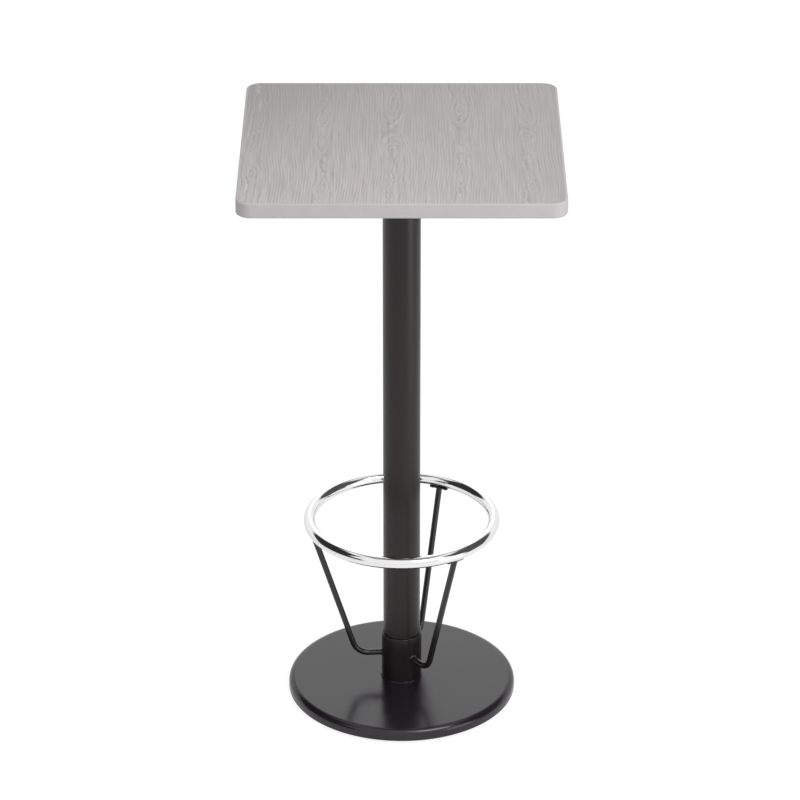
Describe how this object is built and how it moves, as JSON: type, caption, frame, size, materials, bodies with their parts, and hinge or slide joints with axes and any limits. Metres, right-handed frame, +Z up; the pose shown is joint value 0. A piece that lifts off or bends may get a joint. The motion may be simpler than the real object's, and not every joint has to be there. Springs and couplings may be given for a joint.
{
  "type": "pub table",
  "caption": "Tall square-topped pub table on a round column with a heavy disc base, a chromed foot ring on bent rods and screw-adjusted levelling feet.",
  "frame": {"origin": "on the floor, below the middle of the column, which is also the middle of the top and of the base", "axes": "+Z up along the column, -Y towards the front, +X to the right seen from the front; the sides of the top are parallel to X and Y"},
  "size_m": [0.58, 0.58, 1.135],
  "materials": {
    "grey_wood_laminate": "grey-washed wood grain laminate, fine matt texture",
    "particle_board": "raw pressed particle board",
    "balancing_sheet": "plain pale grey balancing laminate, matt",
    "grey_edge_vinyl": "pale warm grey vinyl edge strip, satin",
    "black_coated_iron": "black powder coat on cast iron, satin with a fine orange peel",
    "black_coated_steel": "black powder coat on steel tube and rod, satin",
    "bright_chrome": "polished bright chrome plate",
    "zinc_plated_steel": "bright zinc plate",
    "black_oxide_screws": "black oxide with a trace of oil",
    "black_nylon": "moulded black nylon"
  },
  "bodies": {
    "frame": {"top_core": "particle_board", "top_laminate": "grey_wood_laminate", "top_backer": "balancing_sheet", "edge_strip": "grey_edge_vinyl", "top_spider": "black_coated_iron", "spider_screws": "zinc_plated_steel", "column_tube": "black_coated_steel", "tie_rod": "zinc_plated_steel", "top_nut": "zinc_plated_steel", "top_washer": "zinc_plated_steel", "bottom_nut": "zinc_plated_steel", "bottom_washer": "zinc_plated_steel", "base_casting": "black_coated_iron", "foot_ring": "bright_chrome", "foot_ring_collar": "black_coated_steel", "collar_set_screws": "black_oxide_screws", "ring_screws": "black_oxide_screws", "stay_left": "black_coated_steel", "stay_pad_left": "black_coated_steel", "stay_front": "black_coated_steel", "stay_pad_front": "black_coated_steel", "stay_back": "black_coated_steel", "stay_pad_back": "black_coated_steel"},
    "pad_front_left": {"glide_pad_front_left": "black_nylon"},
    "stem_front_left": {"glide_stem_front_left": "zinc_plated_steel"},
    "pad_front_right": {"glide_pad_front_right": "black_nylon"},
    "stem_front_right": {"glide_stem_front_right": "zinc_plated_steel"},
    "pad_back_right": {"glide_pad_back_right": "black_nylon"},
    "stem_back_right": {"glide_stem_back_right": "zinc_plated_steel"},
    "pad_back_left": {"glide_pad_back_left": "black_nylon"},
    "stem_back_left": {"glide_stem_back_left": "zinc_plated_steel"}
  },
  "joints": [
    {"name": "lift_front_left", "type": "slide", "parent": "frame", "child": "pad_front_left", "axis": [0, 0, 1], "range_m": [-0.0041, 0.0016]},
    {"name": "turn_front_left", "type": "hinge", "parent": "pad_front_left", "child": "stem_front_left", "pos_m": [-0.12693, -0.12693, 0.004], "axis": [0, 0, 1], "range_deg": [-1152, 432]},
    {"name": "lift_front_right", "type": "slide", "parent": "frame", "child": "pad_front_right", "axis": [0, 0, 1], "range_m": [-0.0041, 0.0016]},
    {"name": "turn_front_right", "type": "hinge", "parent": "pad_front_right", "child": "stem_front_right", "pos_m": [0.12693, -0.12693, 0.004], "axis": [0, 0, 1], "range_deg": [-1152, 432]},
    {"name": "lift_back_right", "type": "slide", "parent": "frame", "child": "pad_back_right", "axis": [0, 0, 1], "range_m": [-0.0041, 0.0016]},
    {"name": "turn_back_right", "type": "hinge", "parent": "pad_back_right", "child": "stem_back_right", "pos_m": [0.12693, 0.12693, 0.004], "axis": [0, 0, 1], "range_deg": [-1152, 432]},
    {"name": "lift_back_left", "type": "slide", "parent": "frame", "child": "pad_back_left", "axis": [0, 0, 1], "range_m": [-0.0041, 0.0016]},
    {"name": "turn_back_left", "type": "hinge", "parent": "pad_back_left", "child": "stem_back_left", "pos_m": [-0.12693, 0.12693, 0.004], "axis": [0, 0, 1], "range_deg": [-1152, 432]}
  ],
  "couplings": [
    {"joint": "lift_front_left", "follows": "turn_front_left", "m_per_rad": 0.00019894},
    {"joint": "lift_front_right", "follows": "turn_front_right", "m_per_rad": 0.00019894},
    {"joint": "lift_back_right", "follows": "turn_back_right", "m_per_rad": 0.00019894},
    {"joint": "lift_back_left", "follows": "turn_back_left", "m_per_rad": 0.00019894}
  ]
}
